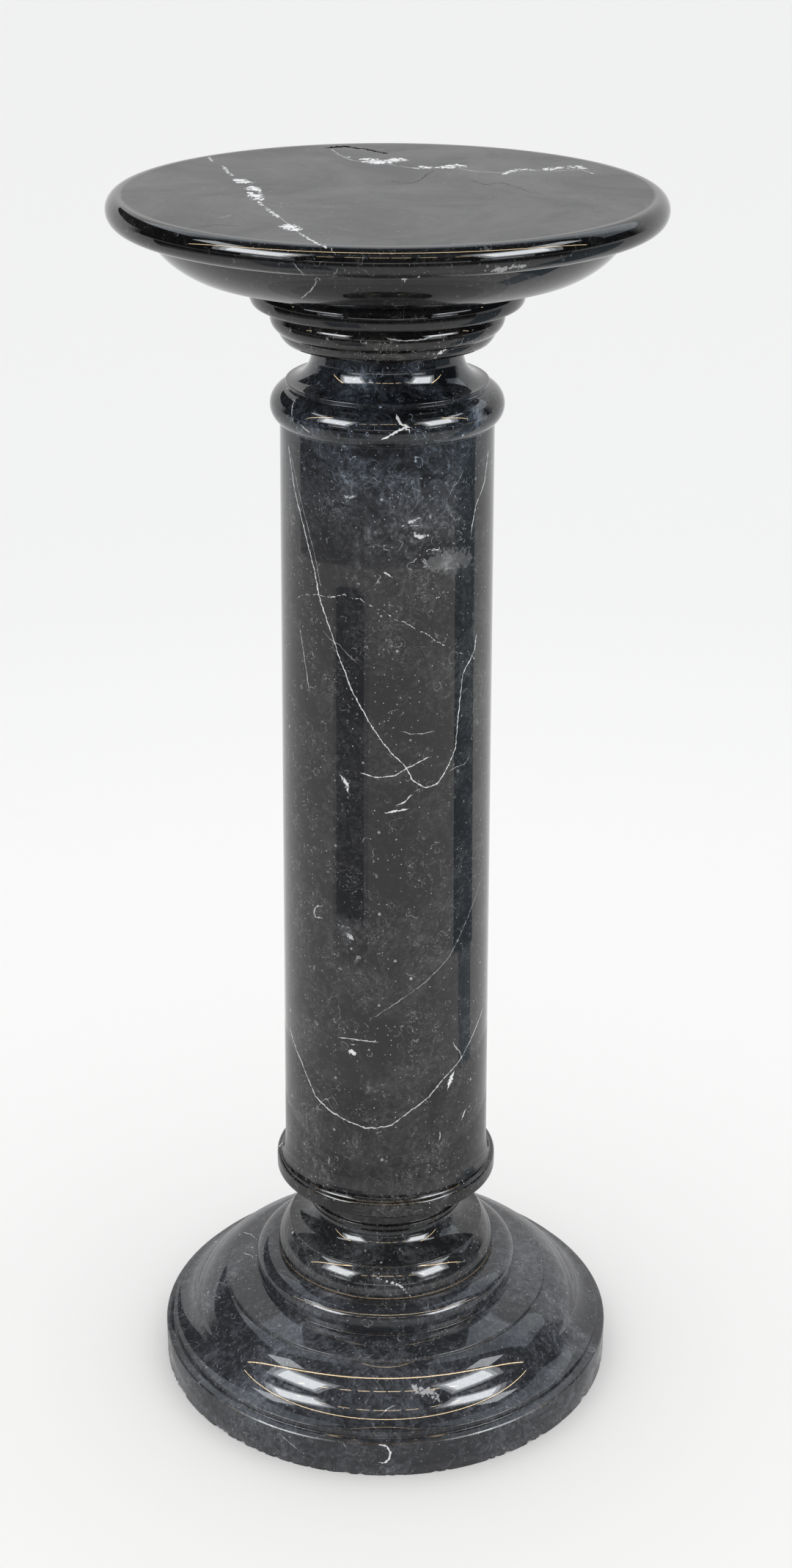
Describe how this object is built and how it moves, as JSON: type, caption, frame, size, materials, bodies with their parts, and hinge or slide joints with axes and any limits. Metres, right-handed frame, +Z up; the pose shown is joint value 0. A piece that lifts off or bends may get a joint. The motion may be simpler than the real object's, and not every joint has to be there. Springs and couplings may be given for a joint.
{
  "type": "marble pedestal column",
  "caption": "Turned column of polished black veined marble with a round top and a bell-shaped plinth, for standing a bust, vase or lamp on.",
  "frame": {"origin": "centre of the column's underside, on its axis", "axes": "+Z up, along the column's turning axis; -Y faces the front of the picture"},
  "size_m": [0.414, 0.414, 0.96],
  "materials": {
    "plinth_marble": "polished black marble, thin white veins, pale fossil flecks and rubbed, slightly dull patches",
    "base_torus_marble": "polished black marble with clouded grey-blue patches and a beaded white vein",
    "shaft_marble": "polished black marble with looping white veins, pale fossil flecks and clouded grey patches",
    "capital_marble": "polished brownish black marble, full of pale fossil flecks",
    "top_plate_marble": "polished black marble, the flat top rubbed to a satin with fine scratches, broken white veins"
  },
  "bodies": {
    "root": {"plinth": "plinth_marble", "base_torus": "base_torus_marble", "shaft": "shaft_marble", "capital": "capital_marble", "top_plate": "top_plate_marble"}
  },
  "joints": []
}
